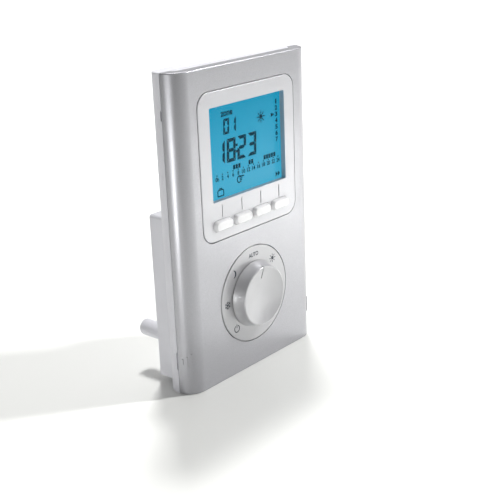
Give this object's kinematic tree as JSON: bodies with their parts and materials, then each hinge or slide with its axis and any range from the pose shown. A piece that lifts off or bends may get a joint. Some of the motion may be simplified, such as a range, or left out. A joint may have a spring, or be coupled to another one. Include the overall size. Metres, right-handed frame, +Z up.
{
  "type": "programmable timer",
  "caption": "Slim wall-mounted heating timer with a backlit display, a row of push keys, a rotary mode selector and a shallow wall box behind it.",
  "frame": {"origin": "on the wall box's back face, where the timer meets the wall, midway between its two wall screws", "axes": "+X to the viewer's right seen from the front, +Y into the wall, +Z up"},
  "size_m": [0.08, 0.0433, 0.129],
  "materials": {
    "cover_paint": "satin silver paint with a fine metallic speckle",
    "fascia_paint": "pale silver paint, fine speckle",
    "dial_paint": "pale silver paint, satin",
    "knob_paint": "satin silver paint",
    "key_plastic": "smooth white, lightly glossy",
    "white_plastic": "fine-grained moulded plastic",
    "display_glass": "clear, lightly glossy",
    "display_blue": "backlit blue liquid-crystal field with dark segments",
    "clear_plastic": "clear moulded plastic",
    "grey_rubber": "matt",
    "circuit_board": "green solder mask",
    "black_plastic": "moulded, matt",
    "component_blue": "smooth coated",
    "terminal_green": "moulded",
    "transformer_dark": "varnished laminations",
    "steel": "zinc plated",
    "brass": "plain"
  },
  "bodies": {
    "base": {"rear_shell": "white_plastic", "wall_box": "white_plastic", "cable_sleeve": "white_plastic", "power_board": "circuit_board", "base_socket": "black_plastic", "terminal_block": "terminal_green", "terminal_screws": "steel", "terminal_clamps": "brass", "transformer": "transformer_dark", "pilot_wire_relay": "component_blue", "surge_varistor": "component_blue", "smoothing_capacitor": "component_blue", "box_screws": "steel", "power_board_screws": "steel"},
    "front_unit": {"front_cover": "cover_paint", "display_fascia": "fascia_paint", "dial_ring": "dial_paint", "selector_body": "black_plastic", "detent_spring": "steel", "key_switches": "black_plastic", "main_board": "circuit_board", "display_lens": "display_glass", "display_cell": "display_blue", "backlight_guide": "clear_plastic", "backlight_lamps": "clear_plastic", "display_contact_strip": "grey_rubber", "display_frame": "white_plastic", "microcontroller": "black_plastic", "memory_chip": "black_plastic", "clock_crystal": "steel", "backup_capacitor": "component_blue", "plug_header": "black_plastic", "board_screws": "steel"},
    "knob": {"selector_knob": "knob_paint", "selector_shaft": "steel", "selector_rotor": "black_plastic", "selector_wiper": "brass"},
    "absence_button": {"absence_key": "key_plastic", "absence_plunger": "black_plastic"},
    "minus_button": {"minus_key": "key_plastic", "minus_plunger": "black_plastic"},
    "plus_button": {"plus_key": "key_plastic", "plus_plunger": "black_plastic"},
    "advance_button": {"advance_key": "key_plastic", "advance_plunger": "black_plastic"}
  },
  "joints": [
    {"name": "front_unit_release", "type": "slide", "parent": "base", "child": "front_unit", "axis": [0, -1, 0], "range_m": [0, 0.022]},
    {"name": "selector_turn", "type": "hinge", "parent": "front_unit", "child": "knob", "pos_m": [0, -0.0215, -0.0043], "axis": [0, -1, 0], "range_deg": [-45, 135]},
    {"name": "absence_press", "type": "slide", "parent": "front_unit", "child": "absence_button", "axis": [0, 1, 0], "range_m": [0, 0.0006], "stiffness_N_per_m": 1500},
    {"name": "minus_press", "type": "slide", "parent": "front_unit", "child": "minus_button", "axis": [0, 1, 0], "range_m": [0, 0.0006], "stiffness_N_per_m": 1500},
    {"name": "plus_press", "type": "slide", "parent": "front_unit", "child": "plus_button", "axis": [0, 1, 0], "range_m": [0, 0.0006], "stiffness_N_per_m": 1500},
    {"name": "advance_press", "type": "slide", "parent": "front_unit", "child": "advance_button", "axis": [0, 1, 0], "range_m": [0, 0.0006], "stiffness_N_per_m": 1500}
  ]
}
